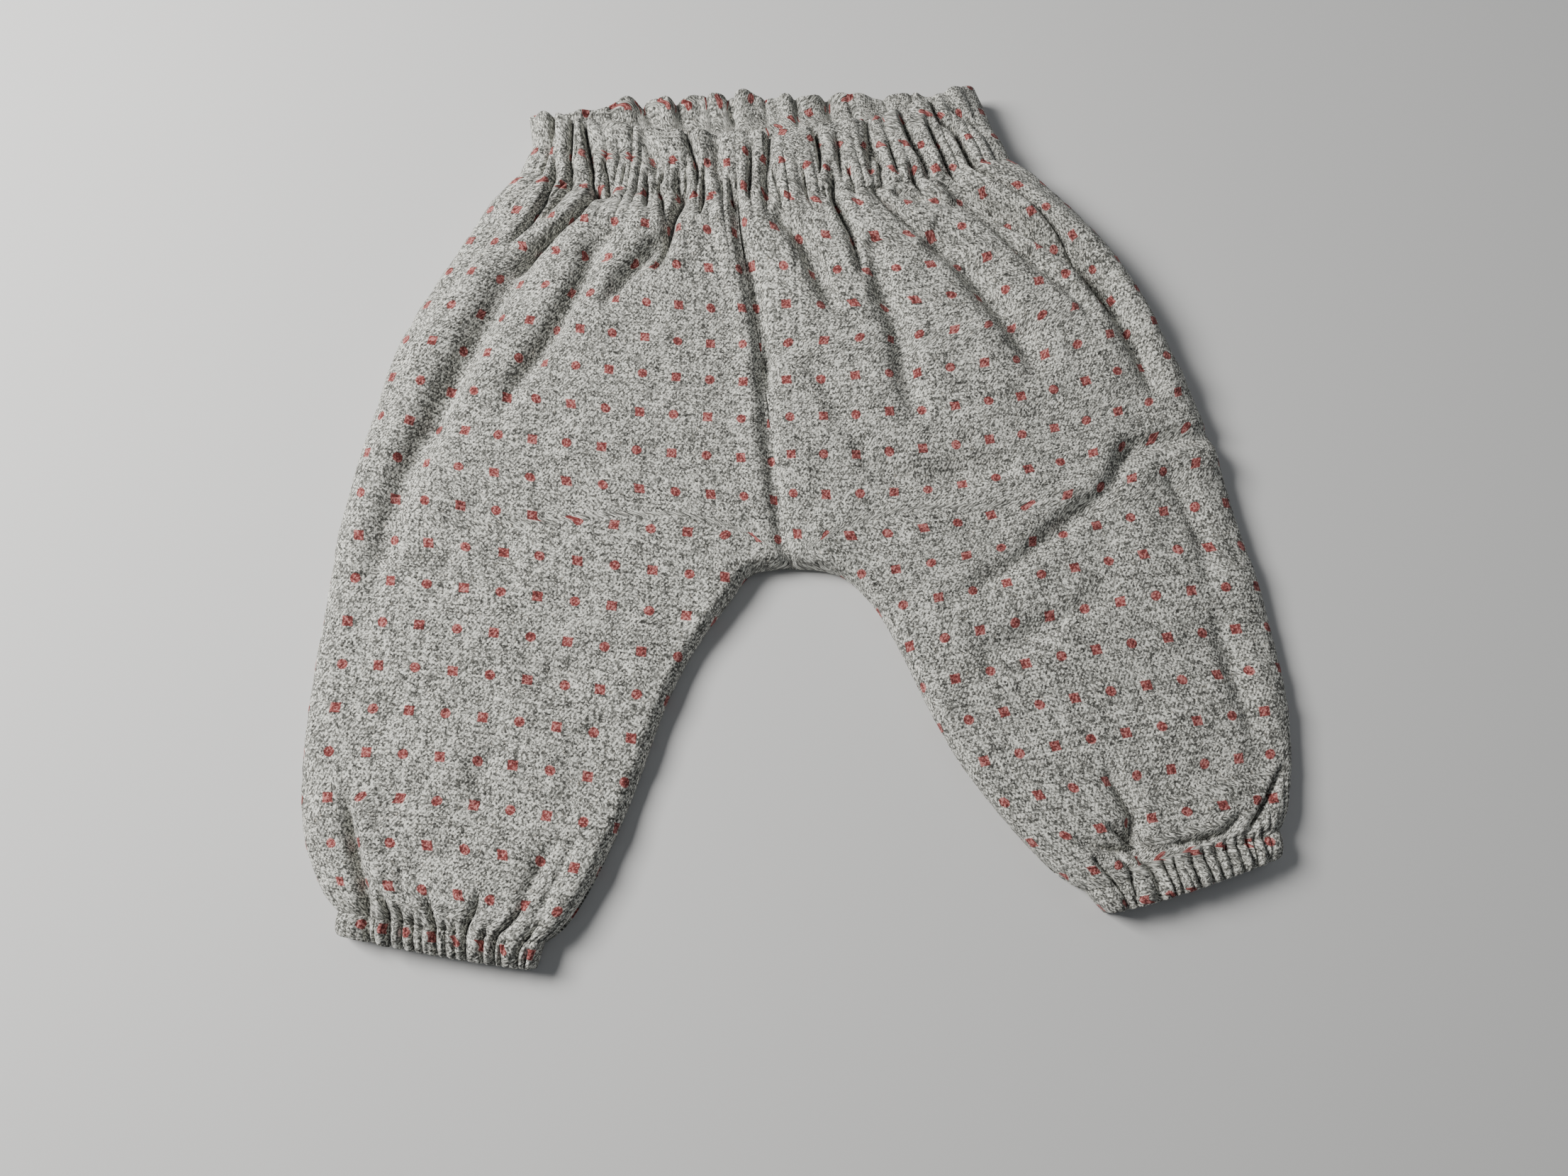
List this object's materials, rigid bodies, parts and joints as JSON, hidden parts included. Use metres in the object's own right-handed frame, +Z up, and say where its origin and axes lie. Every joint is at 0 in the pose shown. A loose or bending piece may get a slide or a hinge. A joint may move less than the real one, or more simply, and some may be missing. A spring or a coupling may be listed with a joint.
{
  "type": "baby harem trousers",
  "caption": "Baby harem trousers in woven flannel laid flat: wide body, frilled elastic waist, dropped crotch, balloon legs and gathered ankle cuffs.",
  "frame": {"origin": "on the table under the middle of the garment's bounding box", "axes": "+X across the garment, to the right as seen with the front up; +Y from the cuffs towards the waist; +Z up from the table, out of the front"},
  "size_m": [0.3426, 0.333, 0.0213],
  "materials": {
    "flannel": "matte"
  },
  "bodies": {
    "root": {"half_left": "flannel", "half_right": "flannel", "waist_channel": "flannel", "waist_frill": "flannel", "cuff_left": "flannel", "cuff_right": "flannel"}
  },
  "joints": []
}
